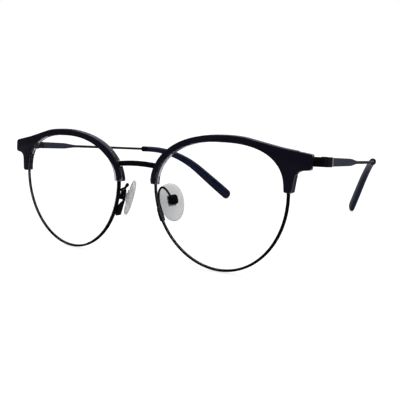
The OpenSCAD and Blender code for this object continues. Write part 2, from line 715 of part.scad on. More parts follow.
// Pad insert: a plate on the pad's back with an eye for the pad screw
insert_thick = 0.4;
eye_r = 0.8;
eye_wide = 1.7;
pad_screw_r = 0.4;
pad_play = 0.04;
insert_face = -pad_back_flat - bond;
module pad_insert() {
    color(pad_clear) pad_place() difference() {
        union() {
            translate([pin_side - 1.5, insert_face - insert_thick, pin_up - 2.1])
                cube([3, insert_thick, 4.2]);
            translate([pin_side - eye_wide / 2, -pin_back, pin_up - eye_r])
                cube([eye_wide, pin_back + insert_face - insert_thick / 2, 2 * eye_r]);
            translate([pin_side - eye_wide / 2, -pin_back, pin_up]) rotate([0, 90, 0])
                cylinder(r = eye_r, h = eye_wide, $fn = fine);
        }
        translate([-3, -pin_back, pin_up]) rotate([0, 90, 0])
            cylinder(r = pad_screw_r + pad_play, h = 6, $fn = fine);
    }
}

// Pad box: a channel with two cheeks that carry the pad screw
cheek = 0.75;
box_wide = eye_wide + 2 * (cheek + 0.2);
box_tall = 3.7;
box_corner = 1.05;
box_front = -2.05;
box_floor = -pin_back - eye_r - 0.2;
box_rear = box_floor - 0.5;
box_outline = rounded([[-box_wide / 2, -box_tall / 2, box_corner],
    [box_wide / 2, -box_tall / 2, box_corner], [box_wide / 2, box_tall / 2, box_corner],
    [-box_wide / 2, box_tall / 2, box_corner]]);
module pad_box() {
    color(black_metal) pad_place() translate([pin_side, 0, pin_up]) difference() {
        translate([0, box_front, 0]) rotate([90, 0, 0])
            linear_extrude(height = box_front - box_rear) polygon(box_outline);
        translate([-box_wide / 2 + cheek, box_floor, -box_tall])
            cube([box_wide - 2 * cheek, 5, 2 * box_tall]);
        translate([-4, -pin_back, 0]) rotate([0, 90, 0])
            cylinder(r = pad_screw_r + bond, h = 8, $fn = fine);
    }
}
module pad_screw() {
    color(steel) pad_place() translate([pin_side, -pin_back, pin_up]) rotate([0, 90, 0]) difference() {
        union() {
            translate([0, 0, -box_wide / 2]) cylinder(r = pad_screw_r, h = box_wide + bond,
                $fn = fine);
            translate([0, 0, box_wide / 2 + bond]) cylinder(r = 0.7, h = 0.35, $fn = fine);
        }
        translate([-2, -0.12, box_wide / 2 + 0.2]) cube([4, 0.24, 1]);
    }
}

// Pad arm: a wire flattened into a foot that is soldered to the eyewire's nasal side,
// then a swan neck up, back and down to the pad box
foot_turn = angle_nasal_low(foot_down);
foot_mid = lens_point(foot_turn);
foot_lean = atan2(lens_normal(foot_turn)[1], lens_normal(foot_turn)[0]) - 180;
foot_in = -rim_thick / 2 - foot_thick - bond;
function rot_y(p, a) = [p[0] * cos(a) + p[2] * sin(a), p[1], -p[0] * sin(a) + p[2] * cos(a)];
function rot_x(p, a) = [p[0], p[1] * cos(a) - p[2] * sin(a), p[1] * sin(a) + p[2] * cos(a)];
function rot_z(p, a) = [p[0] * cos(a) - p[1] * sin(a), p[0] * sin(a) + p[1] * cos(a), p[2]];
function foot_to_front(p) = lens_to_front(rot_y(p, -foot_lean)
    + [foot_mid[0], sag(foot_mid[0], foot_mid[1]), foot_mid[1]]);
function pad_to_front(p) = rot_z(rot_x(rot_y(p, -pad_roll), -pad_lean), pad_splay)
    + [pad_out, pad_back, -pad_down];
arm_r = arm_d / 2;
arm_sides = 12;
// Flat section of the foot at height z, from depth y0 to y1
function foot_ring(z, y0, y1) = [for (j = [0:arm_sides - 1])
    let (t = -(j + 0.5) * 360 / arm_sides)
    foot_to_front([foot_in + foot_thick / 2 * (1 + spow(cos(t), 0.25)),
        mix(y0, y1, 0.5 + 0.5 * spow(sin(t), 0.25)), z])];
arm_first = foot_to_front([foot_in + foot_thick / 2, foot_back - arm_r, foot_tall / 2 + 0.4]);
arm_last = pad_to_front([pin_side, box_rear - arm_r - 0.14, pin_up - 0.4]);
arm_knots = [arm_first, arm_first + [-0.2, -0.05, 1.9], arm_first + [-0.3, 0.2, 4.3],
    arm_first + [0, 1.6, 5.8], arm_first + [0.9, 3.1, 4.8],
    pad_to_front([pin_side - 1.1, box_rear - arm_r - 0.4, pin_up + 1.3]), arm_last];
arm_route = spline(arm_knots, 5);
function arm_dir(i) = let (m = len(arm_route) - 1)
    unit(arm_route[min(i + 1, m)] - arm_route[max(i - 1, 0)]);
function arm_ring(i) = let (d = arm_dir(i), a = unit([1, 0, 0] - d * d[0]), b = cross(d, a))
    [for (j = [0:arm_sides - 1]) let (t = -(j + 0.5) * 360 / arm_sides)
    arm_route[i] + arm_r * (a * cos(t) + b * sin(t))];
module pad_arm() {
    h = foot_tall / 2;
    foot = [foot_ring(-h, 0.3, foot_back), foot_ring(-h + 0.3, 0, foot_back),
        foot_ring(h - 1.2, 0, foot_back), foot_ring(h, foot_back - arm_d, foot_back)];
    wire = [for (i = [0:len(arm_route) - 1]) arm_ring(i)];
    color(black_metal) skin(concat(foot, wire));
}

// Stance: the frame rests on the eyewire bottoms and the temple tips, tilted to suit
function hinge_to_front(p) = rot_x(p, -temple_drop) + [hinge_out, hinge_back, hinge_up];
tip_low = [for (s = tip_stops) for (p = temple_ring(s, tip_width(s), tip_height(s), 2.3,
    wire_sides)) hinge_to_front(p)];
rim_low = [for (t = [240:2:300]) for (p = rim_ring(t)) lens_to_front(p)];
function lowest(points, a) = min([for (p = points) p[2] * cos(a) - p[1] * sin(a)]);
function settle(a, n) = n == 0 ? a
    : settle(a + asin((lowest(tip_low, a) - lowest(rim_low, a)) / 130), n - 1);
stance = settle(2, 6);
lift = -lowest(rim_low, stance);
tip_rear = max([for (p = tip_low) p[1] * cos(stance) + p[2] * sin(stance)]);
bulge = [for (i = [0:3]) for (p = lens_ring(lens_rings[i][0], lens_rings[i][1]))
    lens_to_front(p)];
front_most = min([for (p = bulge) p[1] * cos(stance) + p[2] * sin(stance)]);
centre_back = (tip_rear + front_most) / 2;
function to_stand(p) = rot_x(p, -stance) + [0, -centre_back, lift];
module stand() {
    translate([0, -centre_back, lift]) rotate([-stance, 0, 0]) children();
}
module left() {
    stand() children();
}
module right() {
    mirror([1, 0, 0]) stand() children();
}
module both() {
    left() children();
    right() children();
}
echo(stance = stance, lift = lift, centre_back = centre_back);
echo(hinge_point = to_stand([hinge_out, hinge_back, hinge_up]));
echo(hinge_axis = rot_x(rot_x([0, 0, 1], -temple_drop), -stance));
echo(pad_pin = to_stand(pad_to_front([pin_side, -pin_back, pin_up])));
echo(pad_axis = rot_x(pad_to_front([1, 0, 0]) - pad_to_front([0, 0, 0]), -stance));

left() eyewire();  // left_eyewire
right() eyewire();  // right_eyewire
left() lens();  // left_lens
right() lens();  // right_lens
left() brow_front();  // left_brow_front
right() brow_front();  // right_brow_front
left() brow_back();  // left_brow_back
right() brow_back();  // right_brow_back
stand() bridge();
left() endpiece();  // left_endpiece
right() endpiece();  // right_endpiece
left() rim_lock();  // left_rim_lock
right() rim_lock();  // right_rim_lock
both() lock_screw();  // rim_lock_screws
both() brow_screw();  // brow_screws
left() front_hinge();  // left_front_hinge
right() front_hinge();  // right_front_hinge
both() hinge_screw();  // hinge_screws
left() temple_hinge();  // left_temple_hinge
right() temple_hinge();  // right_temple_hinge
left() temple();  // left_temple
right() temple();  // right_temple
left() temple_tip();  // left_temple_tip
right() temple_tip();  // right_temple_tip
left() pad_arm();  // left_pad_arm
right() pad_arm();  // right_pad_arm
left() pad_box();  // left_pad_box
right() pad_box();  // right_pad_box
both() pad_screw();  // pad_screws
left() pad_insert();  // left_pad_insert
right() pad_insert();  // right_pad_insert
left() nose_pad();  // left_nose_pad
right() nose_pad();  // right_nose_pad
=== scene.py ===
# %% [markdown]
# An eyeglass frame with round lenses and plastic brows.
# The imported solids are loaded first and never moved. Each one is then dressed:
# its shape is copied, its corners are rounded as polishing rounds them, and it
# gets the finish of the real material. The pieces could be modelled anew, but a
# copy of a solid is sure to fit its neighbours and to move as the solid does.
# Lengths are in metres, as in the solids.

# %% Load the fixed frame
import json
import math

import bmesh
import bpy
from mathutils import Matrix, Quaternion, Vector


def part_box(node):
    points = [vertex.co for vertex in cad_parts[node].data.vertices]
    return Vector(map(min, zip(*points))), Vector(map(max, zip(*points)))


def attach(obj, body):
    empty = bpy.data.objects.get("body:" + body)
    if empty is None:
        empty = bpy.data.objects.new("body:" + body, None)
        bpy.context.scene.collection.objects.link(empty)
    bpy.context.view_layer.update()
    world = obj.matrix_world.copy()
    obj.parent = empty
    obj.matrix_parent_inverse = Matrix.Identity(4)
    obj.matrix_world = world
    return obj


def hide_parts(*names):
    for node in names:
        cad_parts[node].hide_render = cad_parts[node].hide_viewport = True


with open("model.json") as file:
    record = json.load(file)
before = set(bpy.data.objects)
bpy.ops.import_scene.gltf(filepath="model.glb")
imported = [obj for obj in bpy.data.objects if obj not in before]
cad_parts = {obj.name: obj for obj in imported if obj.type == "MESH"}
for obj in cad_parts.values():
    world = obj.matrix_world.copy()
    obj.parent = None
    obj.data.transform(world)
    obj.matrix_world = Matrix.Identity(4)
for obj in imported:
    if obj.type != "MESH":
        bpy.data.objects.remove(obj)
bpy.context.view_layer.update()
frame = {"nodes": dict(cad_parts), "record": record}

MM = 0.001
SIDES = ("left", "right")
body_of = {node: body for body, nodes in frame["record"]["behaviour"]["bodies"].items()
           for node in nodes}

# %% [markdown]
# The photograph was taken from the wearer's left and a little above, from close
# by, so the near lens looks clearly larger than the far one. A camera could be
# dragged into place, but a point to look at, two angles and a distance can be
# compared with the photograph one at a time. The camera is then turned a third of
# a degree about its own axis. The shift of half a pixel is there because places
# in the photograph were read at the middle of each pixel.

# %% Camera
LOOK_AT = Vector((29.32, -68.185, 25.423)) * MM
LOOK_AZIMUTH, LOOK_ELEVATION, LOOK_ROLL = 32.5622, 10.0669, -0.3614
LOOK_DISTANCE = 216.19 * MM
LENS_LENGTH, SENSOR_WIDTH = 55.777, 36.0
NEAREST, FARTHEST = 0.01, 20.0
PHOTO_WIDTH = 400
HALF_PIXEL = 0.5 / PHOTO_WIDTH


def make_camera():
    turn, rise = math.radians(LOOK_AZIMUTH), math.radians(LOOK_ELEVATION)
    back = Vector((math.sin(turn) * math.cos(rise), -math.cos(turn) * math.cos(rise),
                   math.sin(rise)))
    camera = bpy.data.objects.new("camera", bpy.data.cameras.new("camera"))
    camera.data.lens, camera.data.sensor_width = LENS_LENGTH, SENSOR_WIDTH
    camera.data.shift_x, camera.data.shift_y = -HALF_PIXEL, HALF_PIXEL
    camera.data.clip_start, camera.data.clip_end = NEAREST, FARTHEST
    camera.rotation_mode = "QUATERNION"
    aim = (-back).to_track_quat("-Z", "Y")
    roll = Quaternion((0, 0, 1), math.radians(LOOK_ROLL))
    camera.rotation_quaternion = aim @ roll
    camera.location = LOOK_AT + back * LOOK_DISTANCE
    bpy.context.scene.collection.objects.link(camera)
    bpy.context.scene.camera = camera
    return camera


camera = make_camera()
print("camera at", [round(c, 4) for c in camera.location])

# %% [markdown]
# A finish is a node tree around one Principled shader. Each starts the same way:
# a new material, its shader, and the piece's own coordinates to hang patterns on.
# No real surface has one flat colour, so noise moves the colour, the roughness or
# the height a little. A picture could do that too, but noise has no seams and
# stays with the piece when it moves. Where a finish has a plain roughness beside
# its pattern, a viewer that can't show the pattern falls back on it.

# %% Start of a finish
finishes = {}


def begin_finish(slot, name, **settings):
    material = bpy.data.materials.new(name)
    material.use_nodes = True
    finishes[slot] = material
    tree = material.node_tree
    shader = tree.nodes["Principled BSDF"]
    for socket, value in settings.items():
        shader.inputs[socket.replace("_", " ")].default_value = value
    place = tree.nodes.new("ShaderNodeTexCoord").outputs["Object"]
    return tree, shader, place


def noise(tree, vector, scale=1.0, detail=3.0, roughness=0.55):
    node = tree.nodes.new("ShaderNodeTexNoise")
    node.inputs["Scale"].default_value = scale
    node.inputs["Detail"].default_value = detail
    node.inputs["Roughness"].default_value = roughness
    tree.links.new(vector, node.inputs["Vector"])
    return node.outputs["Fac"]


print("a finish can be started")

# %% [markdown]
# The noise runs from 0 to 1. For a colour it picks a tone between two, and for a
# roughness it is spread over a narrower range. For fine relief it is a height, a
# hundredth of a millimetre deep unless the finish says otherwise. A real relief
# in the mesh would need millions of faces, so this is left to the shader.

# %% Patterns for colour, roughness and relief
GRAIN_DEPTH = 0.01 * MM


def two_tone(tree, factor, between, first, second):
    node = tree.nodes.new("ShaderNodeValToRGB")
    for element, position, colour in zip(node.color_ramp.elements, between, (first, second)):
        element.position, element.color = position, (*colour, 1)
    tree.links.new(factor, node.inputs["Fac"])
    return node.outputs["Color"]


def spread(tree, factor, low, high, start=0.0, end=1.0, curve="LINEAR"):
    node = tree.nodes.new("ShaderNodeMapRange")
    node.interpolation_type = curve
    node.inputs["From Min"].default_value = start
    node.inputs["From Max"].default_value = end
    node.inputs["To Min"].default_value = low
    node.inputs["To Max"].default_value = high
    tree.links.new(factor, node.inputs["Value"])
    return node.outputs["Result"]


def coloured(tree, shader, factor, between, first, second):
    tree.links.new(two_tone(tree, factor, between, first, second), shader.inputs["Base Color"])


def roughened(tree, shader, factor, low, high):
    tree.links.new(spread(tree, factor, low, high), shader.inputs["Roughness"])


def bumped(tree, shader, height, strength, distance=GRAIN_DEPTH):
    node = tree.nodes.new("ShaderNodeBump")
    node.inputs["Strength"].default_value = strength
    node.inputs["Distance"].default_value = distance
    tree.links.new(height, node.inputs["Height"])
    tree.links.new(node.outputs["Normal"], shader.inputs["Normal"])


print("patterns ready, grain", GRAIN_DEPTH / MM, "mm deep")

# %% [markdown]
# The eyewires, bridge and pad arms are thin metal with a black coat baked on.
# The coat hides the metal, so it shines as paint does and is given no metal
# share. It is satin: a fine grain breaks up its reflections, and it is never
# quite black.

# %% Black coated metal
def make_black_coat():
    tree, shader, place = begin_finish("black_metal", "black_coat",
                                       IOR=1.5, Specular_IOR_Level=0.035)
    grain = noise(tree, place, scale=2600, detail=4)
    cloud = noise(tree, place, scale=160, detail=2)
    coloured(tree, shader, cloud, between=(0.35, 0.7),
             first=(0.0030, 0.0029, 0.0045), second=(0.0065, 0.0062, 0.0090))
    roughened(tree, shader, grain, low=0.26, high=0.46)
    bumped(tree, shader, grain, strength=0.25)


make_black_coat()
print("made", finishes["black_metal"].name)

# %% [markdown]
# Some patterns have a direction. Brushing and dyeing run along a piece, so their
# noise is stretched by giving it less of one axis than of the others. A tone that
# changes from the front of a piece to its back is made from the piece's own depth,
# and multiplied over the pattern. It could be painted by hand on the surface, but
# a distance from the front end stays right when the piece changes. A Mix node has
# sockets of the same names for numbers and for colours, so they are picked here
# by their place in the node.

# %% Patterns along a piece
RGBA_FIRST, RGBA_SECOND, RGBA_RESULT = 6, 7, 2


def stretched(tree, place, scale):
    mapping = tree.nodes.new("ShaderNodeMapping")
    mapping.inputs["Scale"].default_value = scale
    tree.links.new(place, mapping.inputs["Vector"])
    return mapping.outputs["Vector"]


def multiplied(tree, first, second):
    node = tree.nodes.new("ShaderNodeMix")
    node.data_type, node.blend_type = "RGBA", "MULTIPLY"
    node.inputs["Factor"].default_value = 1.0
    tree.links.new(first, node.inputs[RGBA_FIRST])
    tree.links.new(second, node.inputs[RGBA_SECOND])
    return node.outputs[RGBA_RESULT]


def fade_back(tree, place, start, end, first, second):
    axes = tree.nodes.new("ShaderNodeSeparateXYZ")
    tree.links.new(place, axes.inputs["Vector"])
    along = spread(tree, axes.outputs["Y"], 0, 1, start, end)
    return two_tone(tree, along, (0.0, 1.0), first, second)


TEMPLE_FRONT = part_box("left_temple")[0][1]
TIP_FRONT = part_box("left_temple_tip")[0][1]
print("temple starts at", round(TEMPLE_FRONT, 4), "tip at", round(TIP_FRONT, 4))

# %% [markdown]
# The temples are blue-grey gunmetal, brushed along their length. Noise that is
# stretched along the temple draws the brushing, and a second, softer one shifts
# the tone the way a thin metal coat does. The flat blade is the light part. Where
# it narrows to a wire the metal is darker, so the tone falls there.

# %% Brushed gunmetal
WIRE_FROM, WIRE_TO = TEMPLE_FRONT + 21.3 * MM, TEMPLE_FRONT + 31.3 * MM


def make_gunmetal():
    tree, shader, place = begin_finish("gunmetal", "brushed_gunmetal",
                                       Metallic=0.5, Anisotropic=0.4)
    hair = noise(tree, stretched(tree, place, (5200, 170, 5200)), detail=5, roughness=0.65)
    cloud = noise(tree, stretched(tree, place, (260, 120, 260)), detail=2)
    tone = two_tone(tree, cloud, between=(0.3, 0.72),
                    first=(0.058, 0.066, 0.108), second=(0.100, 0.110, 0.162))
    brushing = two_tone(tree, hair, between=(0.3, 0.7),
                        first=(0.6, 0.6, 0.63), second=(1, 1, 1))
    shade = fade_back(tree, place, WIRE_FROM, WIRE_TO,
                      first=(1, 1, 1), second=(0.05, 0.05, 0.05))
    tree.links.new(multiplied(tree, multiplied(tree, tone, brushing), shade),
                   shader.inputs["Base Color"])
    roughened(tree, shader, hair, low=0.3, high=0.48)
    bumped(tree, shader, hair, strength=0.35)


make_gunmetal()
print("made", finishes["gunmetal"].name)

# %% [markdown]
# Three plainer metals are left. The hinges are dark and the screws are bare steel.
# The third is pale and paints the light line that shows in the gap where a
# temple's front end meets the lug. They differ only in tone, gloss and grain, so
# one function makes all three.

# %% Hinge metal, painted gap light and screw steel
def make_plain_metal(name, metallic, dark, light, rough, scale=2400, detail=3, bump=0.0):
    tree, shader, place = begin_finish(name, name, Metallic=metallic)
    grain = noise(tree, place, scale=scale, detail=detail)
    coloured(tree, shader, grain, (0.3, 0.75), dark, light)
    roughened(tree, shader, grain, *rough)
    if bump:
        bumped(tree, shader, grain, strength=bump)


make_plain_metal("hinge_metal", 0.8, dark=(0.018, 0.018, 0.022), light=(0.035, 0.036, 0.042),
                 rough=(0.3, 0.5), scale=1900, detail=4, bump=0.2)
# A pale metal that paints the light line in the gap at the temple's front end.
make_plain_metal("gap_light_band", 0.3, dark=(0.42, 0.42, 0.44), light=(0.60, 0.60, 0.62),
                 rough=(0.35, 0.5))
make_plain_metal("screw_steel", 1.0, dark=(0.22, 0.22, 0.23), light=(0.36, 0.36, 0.37),
                 rough=(0.22, 0.4))
print("made hinge metal, bare rim and screw steel")

# %% [markdown]
# The brows are sheet acetate, glued in two layers and tumbled until they shine:
# a near-black navy face on a clear grey back. The face is all but opaque, so its
# colour sits on the surface under a clear gloss. The back is solid clear plastic
# that swallows some light on its way through. Its tint could be a surface colour,
# but absorption makes the thick places darker than the thin ones by itself.

# %% Acetate for the brows
def absorb(tree, colour, density):
    node = tree.nodes.new("ShaderNodeVolumeAbsorption")
    node.inputs["Color"].default_value = (*colour, 1)
    node.inputs["Density"].default_value = density
    tree.links.new(node.outputs["Volume"], tree.nodes["Material Output"].inputs["Volume"])


def make_navy_face():
    tree, shader, place = begin_finish("navy_acetate", "navy_acetate", IOR=1.48,
                                       Roughness=0.2, Specular_IOR_Level=0.18)
    cloud = noise(tree, place, scale=70, detail=3)
    coloured(tree, shader, cloud, between=(0.3, 0.75),
             first=(0.0065, 0.0056, 0.0130), second=(0.0110, 0.0094, 0.0205))
    roughened(tree, shader, noise(tree, place, scale=420, detail=2), low=0.16, high=0.3)


def make_clear_grey():
    tree, shader, place = begin_finish("clear_acetate", "clear_acetate", IOR=1.48,
                                       Roughness=0.08, Transmission_Weight=0.93,
                                       Base_Color=(0.72, 0.72, 0.78, 1))
    roughened(tree, shader, noise(tree, place, scale=300, detail=2), low=0.05, high=0.14)
    absorb(tree, colour=(0.45, 0.45, 0.52), density=1600)


make_navy_face()
make_clear_grey()
print("made both acetates")

# %% [markdown]
# The temple tips are the same plastic dyed dark blue. The dye is so deep that
# only a fifth of the light goes in, and absorption tints what comes through thin
# edges. A faint blue sheen lightens the sides that turn away from the eye, as the
# long soft reflections on the real tips do. The colour grows out of near-black
# behind the collar at the front end.

# %% Acetate for the tips
DYE_FROM, DYE_TO = TIP_FRONT + 1.5 * MM, TIP_FRONT + 5.5 * MM


def make_tip_plastic():
    tree, shader, place = begin_finish("tip_acetate", "tip_acetate", IOR=1.49,
                                       Roughness=0.1, Transmission_Weight=0.2,
                                       Specular_IOR_Level=0.3, Sheen_Weight=0.12,
                                       Sheen_Roughness=0.3, Sheen_Tint=(0.45, 0.55, 0.9, 1))
    cloud = noise(tree, stretched(tree, place, (500, 60, 500)), detail=3)
    tone = two_tone(tree, cloud, between=(0.3, 0.75),
                    first=(0.003, 0.005, 0.026), second=(0.010, 0.015, 0.055))
    shade = fade_back(tree, place, DYE_FROM, DYE_TO,
                      first=(0.08, 0.08, 0.10), second=(1, 1, 1))
    tree.links.new(multiplied(tree, tone, shade), shader.inputs["Base Color"])
    roughened(tree, shader, noise(tree, place, scale=260, detail=2), low=0.07, high=0.16)
    absorb(tree, colour=(0.25, 0.32, 0.55), density=900)


make_tip_plastic()
print("made", finishes["tip_acetate"].name)

# %% [markdown]
# The nose pads are soft clear plastic. Handling has dulled them, so they look
# pale grey and blurred, with fine specks inside. They could be all glass, but
# half glass and half white plastic scatters the light as soft plastic does. The
# plate inside each pad is of a harder, clearer plastic.

# %% Pad plastics
SPECK_DEPTH = 0.03 * MM


def make_pad_soft():
    tree, shader, place = begin_finish("pad_silicone", "pad_soft", IOR=1.42,
                                       Roughness=0.4, Transmission_Weight=0.5)
    speck = noise(tree, place, scale=1500, detail=4, roughness=0.7)
    coloured(tree, shader, speck, between=(0.30, 0.46),
             first=(0.80, 0.81, 0.83), second=(0.97, 0.975, 0.985))
    roughened(tree, shader, speck, low=0.3, high=0.5)
    bumped(tree, shader, speck, strength=0.3, distance=SPECK_DEPTH)


def make_pad_hard():
    tree, shader, place = begin_finish("pad_plastic", "pad_hard", IOR=1.49,
                                       Roughness=0.15, Transmission_Weight=0.6)
    grain = noise(tree, place, scale=900, detail=2)
    coloured(tree, shader, grain, between=(0.3, 0.7),
             first=(0.60, 0.61, 0.63), second=(0.72, 0.73, 0.75))


make_pad_soft()
make_pad_hard()
print("made pad plastics")

# %% [markdown]
# The demo lenses are thin, clear and coated, so almost nothing of them shows but
# a little gloss. Real glass would bend and dull what lies behind. A see-through
# shader with a small Fresnel share of gloss does neither. Only the ground bevel
# round the lens is frosted.

# %% Lens finishes
def make_lens_clear():
    tree, shader, place = begin_finish("demo_lens", "lens_clear", Roughness=0.02, Metallic=1.0)
    coloured(tree, shader, noise(tree, place, scale=30, detail=2), between=(0.3, 0.7),
             first=(0.78, 0.86, 0.95), second=(0.86, 0.92, 0.90))
    fresnel = tree.nodes.new("ShaderNodeFresnel")
    fresnel.inputs["IOR"].default_value = 1.07
    clear = tree.nodes.new("ShaderNodeBsdfTransparent")
    mix = tree.nodes.new("ShaderNodeMixShader")
    tree.links.new(fresnel.outputs["Fac"], mix.inputs["Fac"])
    tree.links.new(clear.outputs["BSDF"], mix.inputs[1])
    tree.links.new(shader.outputs["BSDF"], mix.inputs[2])
    tree.links.new(mix.outputs["Shader"], tree.nodes["Material Output"].inputs["Surface"])


def make_lens_ground():
    tree, shader, place = begin_finish("lens_ground", "lens_ground", Roughness=0.5, Alpha=0.65)
    coloured(tree, shader, noise(tree, place, scale=2200, detail=3), between=(0.3, 0.7),
             first=(0.45, 0.46, 0.48), second=(0.62, 0.63, 0.65))


make_lens_clear()
make_lens_ground()
print("made lens finishes")

# %% [markdown]
# Every piece starts as a copy of its solid. The solid is loose triangles with
# stored normals, so the copy's doubled corners are merged and those normals are
# dropped before anything is rounded. Each finished piece rides on its solid's
# body and stands for the solid.

# %% Helpers for every piece
MERGE = 0.0005 * MM
SMOOTH_DEGREES = 35


def merged_copy(node):
    mesh = bmesh.new()
    mesh.from_mesh(frame["nodes"][node].data)
    bmesh.ops.remove_doubles(mesh, verts=mesh.verts, dist=MERGE)
    for attribute in list(mesh.loops.layers.float_vector):
        mesh.loops.layers.float_vector.remove(attribute)
    return mesh


def sharp_edges(mesh, degrees, pick=lambda edge: True):
    limit = math.radians(degrees)
    return [e for e in mesh.edges if len(e.link_faces) == 2
            and e.calc_face_angle(0) > limit and pick(e)]


def add_piece(node, mesh, *slots, levels=0):
    name = node + "_shaped"
    bmesh.ops.recalc_face_normals(mesh, faces=mesh.faces)
    for face in mesh.faces:
        face.smooth = True
    data = bpy.data.meshes.new(name)
    mesh.to_mesh(data)
    mesh.free()
    for slot in slots:
        data.materials.append(finishes[slot])
    piece = bpy.data.objects.new(name, data)
    bpy.context.scene.collection.objects.link(piece)
    if levels:
        subdivide = piece.modifiers.new("Subdivision", "SUBSURF")
        subdivide.levels = subdivide.render_levels = levels
    else:
        data.set_sharp_from_angle(angle=math.radians(SMOOTH_DEGREES))
    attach(piece, body_of[node])
    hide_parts(node)
    return piece


print("helpers for pieces ready")

# %% [markdown]
# The eyewire is a drawn wire with a groove for the lens, bent round the lens and
# closed by a small block. A drawn or moulded piece has no flat faces to bevel, so
# its triangles are paired into squares and smoothed by subdivision, while creases
# keep its true corners. The eyewire's corners are already in the solid, so no
# more has to be done to it.

# %% Eyewires
def squared_copy(node, face_degrees=40, shape_degrees=60):
    mesh = merged_copy(node)
    bmesh.ops.join_triangles(mesh, faces=mesh.faces,
                             angle_face_threshold=math.radians(face_degrees),
                             angle_shape_threshold=math.radians(shape_degrees))
    return mesh


def crease_edges(mesh, degrees, crease):
    layers = mesh.edges.layers.float
    layer = layers.get("crease_edge") or layers.new("crease_edge")
    for edge in sharp_edges(mesh, degrees):
        edge[layer] = crease


def drawn_piece(node, slot, crease_degrees, crease, levels=1):
    mesh = squared_copy(node)
    crease_edges(mesh, crease_degrees, crease)
    return add_piece(node, mesh, slot, levels=levels)


for side in SIDES:
    wire = drawn_piece(f"{side}_eyewire", "black_metal", crease_degrees=50, crease=0.8)
    print("made", wire.name, "from", len(wire.data.polygons), "faces")

# %% [markdown]
# A lens is one clear disc, curved as the eyewire is, with a bevel ground round
# its edge. The ground faces are the ones that lie far from the middle and don't
# look forwards or back, and they get the frosted finish. They could be a piece of
# their own, but a second finish on the same mesh leaves no gap.

# %% Lenses
LENS_FLAT = 12 * MM
LENS_FACING = 0.75


def centre_of(points):
    return sum((p.co for p in points), Vector()) / len(points)


def lens_piece(node):
    mesh = squared_copy(node, face_degrees=20, shape_degrees=70)
    crease_edges(mesh, degrees=30, crease=1.0)
    middle = centre_of(mesh.verts)
    mesh.normal_update()
    ground = [f for f in mesh.faces if abs(f.normal.y) < LENS_FACING
              and (f.calc_center_median() - middle).length > LENS_FLAT]
    for face in ground:
        face.material_index = 1
    count = len(ground)
    add_piece(node, mesh, "demo_lens", "lens_ground", levels=1)
    return count


for side in SIDES:
    print(side, "lens, ground faces:", lens_piece(f"{side}_lens"))

# %% [markdown]
# A piece that is cut, stamped or milled has flat faces and sharp edges, and
# tumbling or filing then breaks the edges a little. Subdivision would turn such a
# piece into a pebble. So the triangles of each flat face are joined into one face,
# and the sharp edges are bevelled.

# %% Helpers for cut pieces
JOIN_DEGREES = 0.6
CORNER_DEGREES = 32


def flat_copy(node):
    mesh = merged_copy(node)
    bmesh.ops.dissolve_limit(mesh, angle_limit=math.radians(JOIN_DEGREES), verts=mesh.verts,
                             edges=mesh.edges)
    return mesh


def round_edges(mesh, edges, width, segments=2):
    bmesh.ops.bevel(mesh, geom=edges, offset=width, offset_type="OFFSET",
                    segments=segments, profile=0.5, affect="EDGES", material=-1,
                    clamp_overlap=True, loop_slide=True)


def cut_piece(node, slot, width, pick=lambda edge: True, segments=2):
    mesh = flat_copy(node)
    round_edges(mesh, sharp_edges(mesh, CORNER_DEGREES, pick), width, segments)
    return add_piece(node, mesh, slot)


print("cut pieces: edges over", CORNER_DEGREES, "degrees are rounded")

# %% [markdown]
# The two layers of a brow are polished together, so only the outside corners are
# round and the glue line between them stays crisp. The dark layer is sunk into
# the clear one by two hundredths of a millimetre, as glue would hold it, so no
# film of air shines between them. The clear outer walls look dark, because they
# mirror the dark face inside them, and that shade is painted: the walls are cut
# in three from front to back, and their front two thirds get the navy of the
# face. The lips, the corners and the wall at the hinge end stay clear. A painted
# picture could show the same, but faces of the mesh give the painted shade a
# clean edge.

# %% Brows
BROW_ROUND, BROW_SEGMENTS = 0.22 * MM, 3
SUNK = 0.02 * MM
END_WALL = 0.9 * MM
WALL_LEAST = 0.8 * MM
OUTSIDE_FACING, WALL_FACING, GLUE_FACING, RUNG_FACING = 0.6, 0.5, 0.8, 0.9


def faces_out(direction):
    return lambda edge: any(f.normal.y * direction > OUTSIDE_FACING for f in edge.link_faces)


def outer_wall(face, middle):
    away = face.calc_center_median() - middle
    away.y = 0
    return abs(face.normal.y) < WALL_FACING and face.normal.dot(away) > 0


def runs_back(edge):
    along = (edge.verts[1].co - edge.verts[0].co).normalized()
    return abs(along.y) > RUNG_FACING and edge.calc_length() > WALL_LEAST


# Painted shade: the front two thirds of the clear outer walls get the navy finish.
def paint_wall_shade(mesh, middle):
    walls = [f for f in mesh.faces if outer_wall(f, middle)]
    rungs = {e for f in walls for e in f.edges if runs_back(e)}
    bmesh.ops.subdivide_edges(mesh, edges=list(rungs), cuts=2, use_grid_fill=False)
    mesh.normal_update()
    end = max(abs(v.co.x) for v in mesh.verts)
    walls = [f for f in mesh.faces if outer_wall(f, middle)
             and abs(f.calc_center_median().x) < end - END_WALL]
    glued = {v for f in mesh.faces if f.normal.y < -GLUE_FACING for v in f.verts}
    wall_shade_verts = {v for f in walls if any(v in glued for v in f.verts) for v in f.verts}
    # These wall faces take the navy finish as painted shade, for the dark face mirrored
    # inside.
    for face in walls:
        if sum(v in wall_shade_verts for v in face.verts) >= 2:
            face.material_index = 1
    return sum(f.material_index for f in mesh.faces)


def clear_layer(node, lens):
    mesh = flat_copy(node)
    mesh.normal_update()
    dark = paint_wall_shade(mesh, centre_of(frame["nodes"][lens].data.vertices))
    edges = sharp_edges(mesh, CORNER_DEGREES, faces_out(1))
    round_edges(mesh, edges, BROW_ROUND, BROW_SEGMENTS)
    add_piece(node, mesh, "clear_acetate", "navy_acetate")
    return dark


for side in SIDES:
    face_layer = cut_piece(f"{side}_brow_front", "navy_acetate", BROW_ROUND,
                           pick=faces_out(-1), segments=BROW_SEGMENTS)
    face_layer.data.transform(Matrix.Translation((0, SUNK, 0)))
    print(side, "brow, dark faces:", clear_layer(f"{side}_brow_back", f"{side}_lens"))

